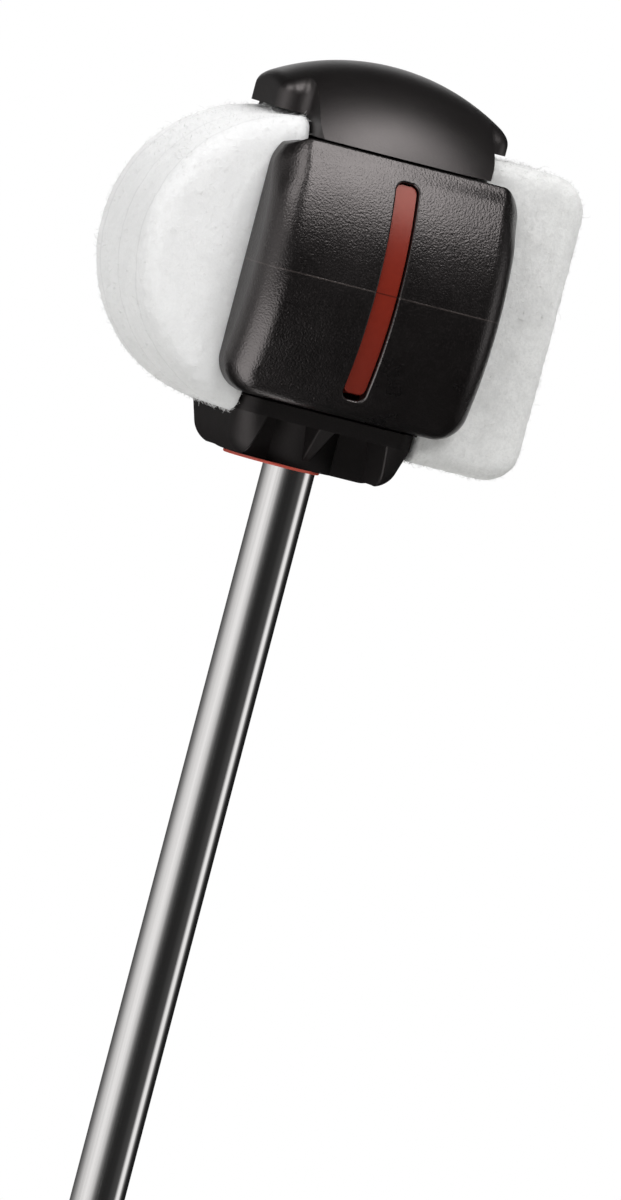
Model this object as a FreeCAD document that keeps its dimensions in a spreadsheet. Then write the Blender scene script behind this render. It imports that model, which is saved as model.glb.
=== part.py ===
"""Bass drum beater with a round felt face and a flat felt face on one steel shaft.

The shaft stands along Z, the drum skin is struck along X (round pad at -X, flat pad at +X) and the
weight covers face -Y and +Y. The origin is on the shaft's axis, where a pedal's clamp grips it.
Sizes are in millimetres. Pieces of the head are drawn from the underside of the head upwards.
"""
import FreeCAD, Part
import math
import os
import re

import Sketcher

SIZES = {
    # Shaft
    "clamp_height": 30.0,
    "shaft_free": 160.0,
    "shaft_dia": 8.0,
    "seat_dia": 7.4,
    "shaft_chamfer": 1.0,
    "shoulder_level": 6.0,
    "spigot_dia": 6.0,
    "spigot_top": 53.3,
    "spigot_chamfer": 0.6,
    "running_gap": 0.05,
    # Red bush under the head
    "bush_flange_dia": 14.8,
    "bush_flange_x": 3.0,
    "bush_flange": 0.4,
    "bush_edge": 0.15,
    "bush_sleeve_dia": 10.0,
    "bush_sleeve": 2.7,
    # Spring pin through the bracket's boss and the shaft
    "pin_dia": 2.5,
    "pin_bore": 1.2,
    "pin_slot": 0.6,
    "pin_level": 4.4,
    # Ribbed bracket at the foot of the head
    "foot_half_x": 13.0,
    "foot_half_y": 10.8,
    "foot_corner": 4.5,
    "foot_round": 4.0,
    "band_half_x": 14.3,
    "band_half_y": 12.2,
    "band_corner": 3.2,
    "band_level": 6.6,
    "bracket_top": 8.9,
    "boss_dia": 12.4,
    "web_half": 3.5,
    "recess_top_x": 9.6,
    "recess_foot_x": 11.0,
    "recess_edge": 0.3,
    "rib_top_half": 1.3,
    "rib_foot_half": 0.25,
    "rib_foot_level": 1.4,
    "past_foot": 1.0,
    # Screws that hold the bracket to the core
    "screw_x": 8.3,
    "screw_dia": 2.5,
    "screw_hole_dia": 2.7,
    "screw_pilot_dia": 2.6,
    "screw_head_dia": 4.4,
    "screw_head_hole_dia": 4.7,
    "screw_head_level": 0.4,
    "screw_head": 1.8,
    "screw_length": 15.0,
    # Core block
    "core_half_x": 12.2,
    "core_half_y": 11.0,
    "core_corner": 1.5,
    "core_top": 48.65,
    "spigot_hole_dia": 6.3,
    "washer_seat": 44.0,
    "washer_well_dia": 13.4,
    "groove_mouth_half": 3.4,
    "groove_root_half": 4.6,
    "groove_root_x": 9.8,
    "slot_gap": 0.3,
    # Fixings on the shaft's threaded end
    "washer_dia": 12.4,
    "washer_hole_dia": 6.4,
    "washer_thick": 1.6,
    "spring_washer_dia": 11.0,
    "spring_washer_thick": 1.5,
    "spring_washer_slit": 0.9,
    "nut_flats": 10.0,
    "nut_thick": 5.0,
    "nut_chamfer": 0.6,
    # Domed cap with its two arms
    "cap_half_x": 14.2,
    "cap_reach_y": 17.7,
    "cap_corner": 4.0,
    "cap_blank_top": 62.0,
    "dome_axis_level": 25.3,
    "dome_major": 17.3,
    "dome_minor": 18.7,
    "dome_spare": 6.0,
    "dome_sweep": 110.0,
    "arm_half_x": 18.7,
    "arm_half_y": 7.4,
    "arm_corner": 2.6,
    "arm_root": 1.8,
    "round_arm_level": 51.4,
    "flat_arm_level": 52.6,
    "arm_edge": 2.4,
    "cap_hollow_x": 19.0,
    "cap_hollow_y": 14.6,
    "cap_hollow": 5.6,
    "cap_leg_wide": 6.0,
    "cap_leg_thick": 1.8,
    "cap_leg_y": 8.6,
    "cap_leg": 6.5,
    # Felt pads and the plastic carriers that they are bonded to
    "felt_half_y": 12.2,
    "felt_back": 14.5,
    "round_radius": 22.6,
    "round_centre_x": 12.8,
    "round_level": 28.5,
    "round_edge": 1.8,
    "flat_front": 31.5,
    "flat_low": 5.0,
    "flat_high": 51.8,
    "flat_corner": 6.2,
    "flat_edge": 5.4,
    "carrier_front": 14.5,
    "carrier_back": 12.35,
    "carrier_half_y": 10.6,
    "carrier_top": 48.2,
    "tongue_gap": 0.25,
    # Weight covers, with their crowned faces
    "cover_half_x": 19.7,
    "cover_low": 9.3,
    "cover_middle": 29.0,
    "cover_high": 48.35,
    "cover_blank_top": 50.2,
    "cover_back": 12.5,
    "cover_face": 22.7,
    "cover_crown": 40.5,
    "cover_corner": 5.0,
    "cover_edge": 4.3,
    "cover_top_edge": 0.5,
    "roof_half_x": 16.0,
    "roof_front": 16.6,
    "cover_wall": 2.2,
    "slot_half": 1.83,
    "slot_low": 12.2,
    "slot_high": 45.3,
    "slot_corner": 1.3,
    "slot_edge": 0.3,
    "rail_x": 6.8,
    "rail_thick": 1.8,
    "rail_low": 13.0,
    "rail_high": 45.0,
    "leg_low": 15.0,
    "leg_high": 37.0,
    "leg_wide": 6.0,
    "leg_reach": 3.6,
    # Red weights and the foam that keeps them from rattling
    "weight_half_x": 6.5,
    "weight_back": 16.0,
    "weight_half_z": 16.0,
    "weight_gap": 0.05,
    "rib_half": 1.65,
    "rib_low": 13.2,
    "rib_high": 45.0,
    "rib_recess": 0.7,
    "rib_corner": 0.9,
    "foam_half_x": 5.5,
    "foam_half_z": 13.0,
    "foam_gap": 0.3,
}

HEAD_LEVEL = "shaft_free - clamp_height"
PARTS_FOLDER = "parts"

doc = FreeCAD.newDocument("BassDrumBeater")
sheet = doc.addObject("Spreadsheet::Sheet", "Sizes")
for row, (alias, number) in enumerate(SIZES.items(), start=1):
    sheet.set("A%d" % row, alias)
    sheet.set("B%d" % row, str(number))
    sheet.setAlias("B%d" % row, alias)
doc.recompute()


def formula(text):
    """Give every named size in a formula its place in the sheet."""
    return re.sub(r"[a-z_]+", lambda word: ("Sizes." if word[0] in SIZES else "") + word[0], text)


def value(text):
    """Work a formula out now, to draw a sketch close to where its constraints hold it."""
    return float(sheet.evalExpression(formula(text)))


def new_body(label, level=HEAD_LEVEL, turn=0):
    """Start a piece whose own zero stands at a level of the frame, turned about the shaft."""
    body = doc.addObject("PartDesign::Body", label)
    body.Label = label
    body.Placement = FreeCAD.Placement(
        FreeCAD.Vector(0, 0, 0), FreeCAD.Rotation(FreeCAD.Vector(0, 0, 1), turn))
    body.setExpression("Placement.Base.z", formula(level))
    return body


def new_sketch(body, role, offset="0", rise="0"):
    """Attach a sketch to one of the body's own planes, moved off it and up along it."""
    sketch = body.newObject("Sketcher::SketchObject", body.Label + "_sketch")
    plane = next(f for f in body.Origin.OriginFeatures if f.Role == role)
    sketch.AttachmentSupport = [(plane, "")]
    sketch.MapMode = "FlatFace"
    sketch.setExpression("AttachmentOffset.Base.y", formula(rise))
    sketch.setExpression("AttachmentOffset.Base.z", formula(offset))
    return sketch


def hold(sketch, kind, edge, place, text):
    """Hold a point's distance from the sketch's zero to a formula."""
    number = value(text)
    if abs(number) < 1e-9:
        axis = -2 if kind == "DistanceX" else -1
        sketch.addConstraint(Sketcher.Constraint("PointOnObject", edge, place, axis))
        return
    index = sketch.addConstraint(Sketcher.Constraint(kind, -1, 1, edge, place, number))
    sketch.setExpression("Constraints[%d]" % index, formula(text))


def outline(sketch, *corners):
    """Draw a closed outline of lines and arcs.

    A corner is (x, y), or (x, y, radius, turn) where an arc leaves it: turn is 1 where the arc goes
    round to the left, against the clock, and -1 where it goes round to the right.
    """
    points = [FreeCAD.Vector(value(corner[0]), value(corner[1]), 0) for corner in corners]
    starts, ends = [], []
    for corner, tail, head in zip(corners, points, points[1:] + points[:1]):
        if len(corner) == 2:
            edge = sketch.addGeometry(Part.LineSegment(tail, head), False)
            starts.append((edge, 1))
            ends.append((edge, 2))
            continue
        radius, turn = value(corner[2]), corner[3]
        chord = head - tail
        depth = math.sqrt(max(0.0, radius ** 2 - chord.Length ** 2 / 4))
        centre = (tail + head) / 2 + FreeCAD.Vector(-chord.y, chord.x, 0) * (turn * depth / chord.Length)
        first, last = (tail, head)[::turn]
        angles = [math.atan2(end.y - centre.y, end.x - centre.x) for end in (first, last)]
        circle = Part.Circle(centre, FreeCAD.Vector(0, 0, 1), radius)
        edge = sketch.addGeometry(Part.ArcOfCircle(circle, *angles), False)
        starts.append((edge, (1, 2)[::turn][0]))
        ends.append((edge, (1, 2)[::turn][1]))
        if depth < 1e-6:
            hold(sketch, "DistanceY", edge, 3, corner[1])
        else:
            index = sketch.addConstraint(Sketcher.Constraint("Radius", edge, radius))
            sketch.setExpression("Constraints[%d]" % index, formula(corner[2]))
    for corner, end, start in zip(corners, ends[-1:] + ends[:-1], starts):
        sketch.addConstraint(Sketcher.Constraint("Coincident", *end, *start))
        hold(sketch, "DistanceX", *start, corner[0])
        hold(sketch, "DistanceY", *start, corner[1])


def rectangle(sketch, low_x, high_x, low_y, high_y):
    """Draw a rectangle between two levels each way."""
    outline(sketch, (low_x, low_y), (high_x, low_y), (high_x, high_y), (low_x, high_y))


def rounded_rectangle(sketch, half_x, low_y, high_y, radius):
    """Draw a rectangle with round corners, centred in x."""
    left, right = "%s - %s" % (radius, half_x), "%s - %s" % (half_x, radius)
    near, far = "%s + %s" % (low_y, radius), "%s - %s" % (high_y, radius)
    outline(
        sketch,
        (left, low_y), (right, low_y, radius, 1),
        (half_x, near), (half_x, far, radius, 1),
        (right, high_y), (left, high_y, radius, 1),
        ("-" + half_x, far), ("-" + half_x, near, radius, 1),
    )


def circle(sketch, x, y, dia):
    """Draw a circle at a held centre."""
    centre = FreeCAD.Vector(value(x), value(y), 0)
    edge = sketch.addGeometry(Part.Circle(centre, FreeCAD.Vector(0, 0, 1), value(dia) / 2), False)
    index = sketch.addConstraint(Sketcher.Constraint("Diameter", edge, value(dia)))
    sketch.setExpression("Constraints[%d]" % index, formula(dia))
    hold(sketch, "DistanceX", edge, 3, x)
    hold(sketch, "DistanceY", edge, 3, y)


def feature(body, kind, sketch, length="", symmetric=False, reverse=False):
    """Pad or pocket a sketch; with no length given, a pocket goes right through."""
    step = body.newObject("PartDesign::" + kind, "%s_%s" % (body.Label, kind))
    step.Profile = sketch
    step.SideType = "Symmetric" if symmetric else "One side"
    step.Reversed = reverse
    if length:
        step.setExpression("Length", formula(length))
    else:
        step.Type = "ThroughAll"
    doc.recompute()
    return step


def turned(body, kind, sketch, axis="V_Axis", angle="360", symmetric=False):
    """Turn a sketch about one of its own axes, to add (Revolution) or cut (Groove)."""
    step = body.newObject("PartDesign::" + kind, "%s_%s" % (body.Label, kind))
    step.Profile = sketch
    step.ReferenceAxis = (sketch, [axis])
    step.setExpression("Angle", formula(angle))
    step.Midplane = symmetric
    doc.recompute()
    return step


def mirrored(body, steps, role):
    """Repeat features on the far side of one of the body's planes."""
    step = body.newObject("PartDesign::Mirrored", body.Label + "_mirror")
    step.Originals = steps
    step.MirrorPlane = (next(f for f in body.Origin.OriginFeatures if f.Role == role), [""])
    body.Tip = step
    doc.recompute()
    return step


def rounded(body, radius, chosen, kind="Fillet"):
    """Round or chamfer the edges of the body's last feature that a test chooses."""
    base = body.Tip
    edges = ["Edge%d" % n for n, edge in enumerate(base.Shape.Edges, start=1) if chosen(edge)]
    step = body.newObject("PartDesign::" + kind, "%s_%s" % (body.Label, kind))
    step.Base = (base, edges)
    step.setExpression("Radius" if kind == "Fillet" else "Size", formula(radius))
    doc.recompute()
    return step


def runs_along(edge, axis):
    """Say whether an edge is a straight line along an axis (0, 1 or 2 for x, y or z)."""
    if not isinstance(edge.Curve, Part.Line):
        return False
    return abs(abs(edge.Curve.Direction[axis]) - 1) < 1e-6


def lies_at(edge, axis, level):
    """Say whether the whole of an edge lies at one level along an axis."""
    box = edge.BoundBox
    low, high = ((box.XMin, box.XMax), (box.YMin, box.YMax), (box.ZMin, box.ZMax))[axis]
    return abs(low - level) < 1e-3 and abs(high - level) < 1e-3


def make_shaft():
    """Chromed steel rod with a chamfered foot, a ground seat for the head and a thinner threaded end."""
    body = new_body("shaft", level="-clamp_height")
    step = "shaft_free - bush_flange"
    shoulder = "shaft_free + shoulder_level"
    top = "shaft_free + spigot_top"
    outline(
        new_sketch(body, "XZ_Plane"),
        ("0", "0"), ("shaft_dia/2 - shaft_chamfer", "0"), ("shaft_dia/2", "shaft_chamfer"),
        ("shaft_dia/2", step), ("seat_dia/2", step), ("seat_dia/2", shoulder), ("spigot_dia/2", shoulder),
        ("spigot_dia/2", top + " - spigot_chamfer"), ("spigot_dia/2 - spigot_chamfer", top), ("0", top),
    )
    turned(body, "Revolution", body.Group[-1])
    hole = new_sketch(body, "YZ_Plane")
    circle(hole, "0", "shaft_free + pin_level", "pin_dia + 2*running_gap")
    feature(body, "Pocket", hole, "2*shaft_dia", symmetric=True)
    return body


def make_shaft_bush():
    """Red bush under the head's foot; its flange reaches further out on the round pad's side."""
    body = new_body("shaft_bush")
    flange = new_sketch(body, "XY_Plane", offset="-bush_flange")
    circle(flange, "-bush_flange_x", "0", "bush_flange_dia")
    feature(body, "Pad", flange, "bush_flange")
    foot = value("-bush_flange")
    rounded(body, "bush_edge", lambda edge: lies_at(edge, 2, foot), kind="Chamfer")
    sleeve = new_sketch(body, "XY_Plane")
    circle(sleeve, "0", "0", "bush_sleeve_dia")
    feature(body, "Pad", sleeve, "bush_sleeve")
    bore = new_sketch(body, "XY_Plane", offset="-bush_flange")
    circle(bore, "0", "0", "seat_dia + 2*running_gap")
    feature(body, "Pocket", bore, reverse=True)
    return body


def make_base_bracket():
    """Moulded bracket: a flared foot, cored out front and rear round a boss, with a tapered rib."""
    body = new_body("base_bracket")
    foot = new_sketch(body, "XY_Plane")
    rounded_rectangle(foot, "foot_half_x", "-foot_half_y", "foot_half_y", "foot_corner")
    flare = new_sketch(body, "XY_Plane", offset="band_level")
    rounded_rectangle(flare, "band_half_x", "-band_half_y", "band_half_y", "band_corner")
    loft = body.newObject("PartDesign::AdditiveLoft", "base_bracket_loft")
    loft.Profile = foot
    loft.Sections = [flare]
    loft.Ruled = True
    doc.recompute()
    band = new_sketch(body, "XY_Plane", offset="band_level")
    rounded_rectangle(band, "band_half_x", "-band_half_y", "band_half_y", "band_corner")
    feature(body, "Pad", band, "bracket_top - band_level")
    rounded(body, "foot_round", lambda edge: lies_at(edge, 2, 0))
    recesses = new_sketch(body, "XZ_Plane", offset="web_half")
    for side in ("-", ""):
        outline(
            recesses,
            (side + "rib_top_half", "band_level"), (side + "recess_top_x", "band_level"),
            (side + "recess_foot_x", "-past_foot"), (side + "rib_foot_half", "-past_foot"),
        )
    cored = feature(body, "Pocket", recesses, reverse=True)
    gusset = new_sketch(body, "YZ_Plane")
    outline(
        gusset,
        ("-band_half_y", "band_level"), ("-boss_dia/2", "rib_foot_level"), ("-boss_dia/2", "-past_foot"),
        ("-band_half_y - past_foot", "-past_foot"), ("-band_half_y - past_foot", "band_level"),
    )
    slanted = feature(body, "Pocket", gusset, "2*rib_top_half + running_gap", symmetric=True)
    mirrored(body, [cored, slanted], "XZ_Plane")
    web, rib, near, far = (value(size) for size in (
        "web_half", "rib_top_half", "recess_top_x", "recess_foot_x"))

    def lines_recess(edge):
        """Say whether an edge runs up the rib, or up a recess's outer side where it opens in the foot."""
        box = edge.BoundBox
        low, high = sorted((abs(box.XMin), abs(box.XMax)))
        if box.ZLength < 1 or min(abs(box.YMin), abs(box.YMax)) < web + 1:
            return False
        return (high < rib + 1e-3 and box.YLength > 1) or (near - 1e-3 < low and high < far)

    rounded(body, "recess_edge", lines_recess)
    boss = new_sketch(body, "XY_Plane")
    circle(boss, "0", "0", "boss_dia")
    feature(body, "Pad", boss, "band_level")
    bore = new_sketch(body, "XZ_Plane")
    outline(
        bore,
        ("0", "-past_foot"), ("bush_sleeve_dia/2 + running_gap", "-past_foot"),
        ("bush_sleeve_dia/2 + running_gap", "bush_sleeve"), ("seat_dia/2 + running_gap", "bush_sleeve"),
        ("seat_dia/2 + running_gap", "shoulder_level"), ("spigot_hole_dia/2", "shoulder_level"),
        ("spigot_hole_dia/2", "bracket_top + past_foot"), ("0", "bracket_top + past_foot"),
    )
    turned(body, "Groove", bore)
    for dia, depth in (("screw_head_hole_dia", "screw_head_level + screw_head"), ("screw_hole_dia", "")):
        holes = new_sketch(body, "XY_Plane")
        for side in ("-", ""):
            circle(holes, side + "screw_x", "0", dia)
        feature(body, "Pocket", holes, depth, reverse=True)
    cross = new_sketch(body, "YZ_Plane")
    circle(cross, "0", "pin_level", "pin_dia + 2*running_gap")
    feature(body, "Pocket", cross, "boss_dia + running_gap", symmetric=True)
    return body


def make_roll_pin():
    """Slotted spring pin that keys the bracket to the shaft."""
    body = new_body("roll_pin")
    ring = new_sketch(body, "YZ_Plane")
    circle(ring, "0", "pin_level", "pin_dia")
    circle(ring, "0", "pin_level", "pin_bore")
    feature(body, "Pad", ring, "boss_dia", symmetric=True)
    slit = new_sketch(body, "XZ_Plane")
    rectangle(slit, "-boss_dia", "boss_dia", "pin_level - pin_slot/2", "pin_level + pin_slot/2")
    feature(body, "Pocket", slit, "pin_dia", reverse=True)
    return body


def make_bracket_screws():
    """Two screws up through the bracket into the core, as one group of solids."""
    shafts = []
    for name, dia, length in (
        ("screw_head", "screw_head_dia", "screw_head"),
        ("screw_shank", "screw_dia", "screw_length"),
    ):
        rod = doc.addObject("Part::Cylinder", name)
        rod.setExpression("Radius", formula(dia + "/2"))
        rod.setExpression("Height", formula(length))
        rod.setExpression("Placement.Base.x", formula("screw_x"))
        rod.setExpression("Placement.Base.z", formula("screw_head_level"))
        shafts.append(rod)
    screw = doc.addObject("Part::Fuse", "screw")
    screw.Base, screw.Tool = shafts
    twin = doc.addObject("Part::Mirroring", "screw_twin")
    twin.Source = screw
    twin.Normal = FreeCAD.Vector(1, 0, 0)
    group = doc.addObject("Part::Compound", "bracket_screws")
    group.Label = "bracket_screws"
    group.Links = [screw, twin]
    group.setExpression("Placement.Base.z", formula(HEAD_LEVEL))
    doc.recompute()
    return group


def make_core_block():
    """Block on the shaft's thin end that takes the carriers, the covers' legs and the cap's legs."""
    body = new_body("core_block")
    plan = new_sketch(body, "XY_Plane", offset="bracket_top")
    rounded_rectangle(plan, "core_half_x", "-core_half_y", "core_half_y", "core_corner")
    feature(body, "Pad", plan, "core_top - bracket_top")
    bore = new_sketch(body, "XZ_Plane")
    outline(
        bore,
        ("0", "bracket_top - past_foot"), ("spigot_hole_dia/2", "bracket_top - past_foot"),
        ("spigot_hole_dia/2", "washer_seat"), ("washer_well_dia/2", "washer_seat"),
        ("washer_well_dia/2", "core_top + past_foot"), ("0", "core_top + past_foot"),
    )
    turned(body, "Groove", bore)
    grooves = new_sketch(body, "XY_Plane", offset="core_top")
    for side in ("-", ""):
        outline(
            grooves,
            (side + "groove_root_x", "-groove_root_half"), (side + "core_half_x", "-groove_mouth_half"),
            (side + "(core_half_x + past_foot)", "-groove_mouth_half"),
            (side + "(core_half_x + past_foot)", "groove_mouth_half"),
            (side + "core_half_x", "groove_mouth_half"), (side + "groove_root_x", "groove_root_half"),
        )
    feature(body, "Pocket", grooves)
    sockets = new_sketch(body, "XZ_Plane", offset="core_half_y")
    for side in ("-1*", ""):
        for low in ("leg_low", "leg_high"):
            left, right = sorted((side + "(rail_x - slot_gap)", side + "(rail_x + rail_thick + slot_gap)"),
                                 key=value)
            rectangle(sockets, left, right, low + " - slot_gap", low + " + leg_wide + slot_gap")
    cut = feature(body, "Pocket", sockets, "leg_reach + slot_gap")
    mirrored(body, [cut], "XZ_Plane")
    latch = new_sketch(body, "XY_Plane", offset="core_top")
    for side in ("-1*", ""):
        near, far = sorted((side + "(cap_leg_y - cap_leg_thick/2 - slot_gap)",
                            side + "(cap_leg_y + cap_leg_thick/2 + slot_gap)"), key=value)
        rectangle(latch, "-cap_leg_wide/2 - slot_gap", "cap_leg_wide/2 + slot_gap", near, far)
    feature(body, "Pocket", latch, "cap_leg + slot_gap")
    pilots = new_sketch(body, "XY_Plane", offset="bracket_top")
    for side in ("-", ""):
        circle(pilots, side + "screw_x", "0", "screw_pilot_dia")
    feature(body, "Pocket", pilots, "screw_length + screw_head_level - bracket_top + slot_gap", reverse=True)
    return body


def make_washer(label, level, dia, thick):
    """Plain steel ring on the shaft's threaded end."""
    body = new_body(label)
    ring = new_sketch(body, "XY_Plane", offset=level)
    circle(ring, "0", "0", dia)
    circle(ring, "0", "0", "washer_hole_dia")
    feature(body, "Pad", ring, thick)
    return body


def make_lock_washer():
    """Split spring washer."""
    level = "washer_seat + washer_thick"
    body = make_washer("lock_washer", level, "spring_washer_dia", "spring_washer_thick")
    slit = new_sketch(body, "XY_Plane", offset=level)
    rectangle(slit, "0", "spring_washer_dia", "-spring_washer_slit/2", "spring_washer_slit/2")
    feature(body, "Pocket", slit, "spring_washer_thick", reverse=True)
    return body


def make_hex_nut():
    """Hexagon nut with chamfered corners."""
    body = new_body("hex_nut")
    level = "washer_seat + washer_thick + spring_washer_thick"
    plan = new_sketch(body, "XY_Plane", offset=level)
    corner = "nut_flats/sqrt(3)"
    outline(
        plan,
        (corner, "0"), (corner + "/2", "nut_flats/2"), ("-" + corner + "/2", "nut_flats/2"),
        ("-" + corner, "0"), ("-" + corner + "/2", "-nut_flats/2"), (corner + "/2", "-nut_flats/2"),
    )
    feature(body, "Pad", plan, "nut_thick")
    bevel = new_sketch(body, "XZ_Plane", rise=level + " + nut_thick")
    outline(
        bevel,
        ("nut_flats/2", "0"), (corner + " + past_foot", "-nut_chamfer"), (corner + " + past_foot", "0"),
    )
    turned(body, "Groove", bevel)
    bore = new_sketch(body, "XY_Plane", offset=level)
    circle(bore, "0", "0", "spigot_dia + 2*running_gap")
    feature(body, "Pocket", bore, reverse=True)
    return body


def make_top_cap():
    """Domed cap: a neck and two arms, cut to one ring-shaped dome, hollow over the nut."""
    body = new_body("top_cap")
    neck = new_sketch(body, "XY_Plane", offset="core_top")
    rounded_rectangle(neck, "cap_half_x", "-cap_reach_y", "cap_reach_y", "cap_corner")
    feature(body, "Pad", neck, "cap_blank_top - core_top")
    for side, level in (("-1*", "round_arm_level"), ("", "flat_arm_level")):
        arm = new_sketch(body, "XZ_Plane")
        left, right = sorted(("0", side + "arm_half_x"), key=value)
        rectangle(arm, left, right, level, "cap_blank_top")
        feature(body, "Pad", arm, "2*arm_half_y", symmetric=True)
    reach, depth, neck_side = (value(size) for size in ("arm_half_x", "arm_half_y", "cap_half_x"))

    def upright_at(edge, x):
        """Say whether an edge stands on an arm's front or rear wall, at a distance from the middle."""
        middle = edge.CenterOfMass
        return runs_along(edge, 2) and abs(abs(middle.x) - x) < 1e-3 and abs(abs(middle.y) - depth) < 1e-3

    rounded(body, "arm_corner", lambda edge: upright_at(edge, reach))
    dome = new_sketch(body, "YZ_Plane", rise="dome_axis_level")
    edge_out = "dome_minor + dome_spare"
    outline(
        dome,
        ("dome_minor", "dome_major"), (edge_out, "dome_major"), (edge_out, "dome_major + " + edge_out),
        ("-dome_minor - dome_spare", "dome_major + " + edge_out), ("-dome_minor - dome_spare", "dome_major"),
        ("-dome_minor", "dome_major", "dome_minor", -1),
    )
    turned(body, "Groove", dome, axis="H_Axis", angle="dome_sweep", symmetric=True)
    rounded(body, "arm_edge", lambda edge: edge.BoundBox.ZLength > 1e-3 and not runs_along(edge, 2)
            and abs(edge.CenterOfMass.x) > neck_side + 0.1)
    rounded(body, "arm_root", lambda edge: upright_at(edge, neck_side))
    hollow = new_sketch(body, "XY_Plane", offset="core_top")
    rectangle(hollow, "-cap_hollow_x/2", "cap_hollow_x/2", "-cap_hollow_y/2", "cap_hollow_y/2")
    feature(body, "Pocket", hollow, "cap_hollow", reverse=True)
    legs = new_sketch(body, "XY_Plane", offset="core_top + cap_hollow")
    for side in ("-1*", ""):
        near, far = sorted((side + "(cap_leg_y - cap_leg_thick/2)", side + "(cap_leg_y + cap_leg_thick/2)"),
                           key=value)
        rectangle(legs, "-cap_leg_wide/2", "cap_leg_wide/2", near, far)
    feature(body, "Pad", legs, "cap_hollow + cap_leg", reverse=True)
    return body


def make_round_felt_pad():
    """Half disc of pressed felt with a softened rim."""
    body = new_body("round_felt_pad")
    half = "sqrt(round_radius^2 - (felt_back - round_centre_x)^2)"
    profile = new_sketch(body, "XZ_Plane")
    outline(
        profile,
        ("-felt_back", "round_level + " + half, "round_radius", 1), ("-felt_back", "round_level - " + half),
    )
    feature(body, "Pad", profile, "2*felt_half_y", symmetric=True)
    rounded(body, "round_edge", lambda edge: isinstance(edge.Curve, Part.Circle))
    return body


def make_flat_felt_pad():
    """Block of pressed felt with a flat striking face and well rounded edges."""
    body = new_body("flat_felt_pad")
    end = new_sketch(body, "YZ_Plane", offset="felt_back")
    rounded_rectangle(end, "felt_half_y", "flat_low", "flat_high", "flat_corner")
    feature(body, "Pad", end, "flat_front - felt_back")
    front = value("flat_front")
    rounded(body, "flat_edge", lambda edge: lies_at(edge, 0, front))
    return body


def make_carrier(label, side):
    """Plastic backing plate of a felt pad, with the dovetail tongue that slides into the core."""
    body = new_body(label)
    plan = new_sketch(body, "XY_Plane", offset="bracket_top")
    corners = (
        ("carrier_front", "-carrier_half_y"), ("carrier_front", "carrier_half_y"),
        ("carrier_back", "carrier_half_y"), ("carrier_back", "groove_mouth_half - tongue_gap"),
        ("(groove_root_x + tongue_gap)", "groove_root_half - 2*tongue_gap"),
        ("(groove_root_x + tongue_gap)", "2*tongue_gap - groove_root_half"),
        ("carrier_back", "tongue_gap - groove_mouth_half"), ("carrier_back", "-carrier_half_y"),
    )
    outline(plan, *[(side + x, y) for x, y in corners])
    feature(body, "Pad", plan, "carrier_top - bracket_top")
    return body


def crowned(inset, low, high):
    """Corners of a crowned face's side view, set in from the cover's face, between two levels."""
    radius = "(cover_crown - %s)" % inset
    rims = ["-(cover_face - cover_crown + sqrt(%s^2 - (%s - cover_middle)^2))" % (radius, level)
            for level in (low, high)]
    return (rims[0], low, radius, -1), (rims[1], high)


def make_cover(label, turn):
    """Crowned moulded shell over a weight: slotted face, rails that stop on the core, and snap legs."""
    body = new_body(label, turn=turn)
    side = new_sketch(body, "YZ_Plane")
    outline(side, ("-cover_back", "cover_low"), *crowned("0", "cover_low", "cover_blank_top"),
            ("-cover_back", "cover_blank_top"))
    feature(body, "Pad", side, "2*cover_half_x", symmetric=True)
    back, high = value("-cover_back"), value("cover_high")
    rounded(body, "cover_corner", lambda edge: runs_along(edge, 1))
    rounded(body, "cover_edge", lambda edge: edge.BoundBox.YMax < back - 1 and not runs_along(edge, 1))
    solid = body.Tip
    opened = ["Face%d" % n for n, face in enumerate(solid.Shape.Faces, start=1)
              if abs(face.CenterOfMass.y - back) < 1e-6]
    shell = body.newObject("PartDesign::Thickness", label + "_shell")
    shell.Base = (solid, opened)
    shell.Reversed = True
    shell.setExpression("Value", formula("cover_wall"))
    doc.recompute()
    trim = new_sketch(body, "XY_Plane", offset="cover_high")
    rectangle(trim, "-cover_half_x - past_foot", "cover_half_x + past_foot",
              "-cover_face - past_foot", "past_foot - cover_back")
    feature(body, "Pocket", trim, reverse=True)
    roof = new_sketch(body, "XY_Plane", offset="cover_high - cover_wall")
    rectangle(roof, "-roof_half_x", "roof_half_x", "-roof_front", "-cover_back")
    feature(body, "Pad", roof, "cover_wall")
    rounded(body, "cover_top_edge", lambda edge: lies_at(edge, 2, high) and not lies_at(edge, 1, back))
    slot = new_sketch(body, "XZ_Plane")
    rounded_rectangle(slot, "slot_half", "slot_low", "slot_high", "slot_corner")
    feature(body, "Pocket", slot, "cover_face + past_foot", reverse=True)
    axis_y, middle = value("cover_crown - cover_face"), value("cover_middle")
    half, crown = value("slot_half"), value("cover_crown")
    rounded(body, "slot_edge", lambda edge: all(
        abs(end.X) < half + 1e-3 and abs(math.hypot(end.Y - axis_y, end.Z - middle) - crown) < 1e-3
        for end in edge.Vertexes))
    rail = new_sketch(body, "YZ_Plane", offset="rail_x")
    stop, tip = "-core_half_y", "leg_reach - core_half_y"
    outline(
        rail,
        (stop, "rail_low"), *crowned("cover_wall/2", "rail_low", "rail_high"), (stop, "rail_high"),
        (stop, "leg_high + leg_wide"), (tip, "leg_high + leg_wide"), (tip, "leg_high"), (stop, "leg_high"),
        (stop, "leg_low + leg_wide"), (tip, "leg_low + leg_wide"), (tip, "leg_low"), (stop, "leg_low"),
    )
    rails = feature(body, "Pad", rail, "rail_thick")
    mirrored(body, [rails], "YZ_Plane")
    return body


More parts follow.
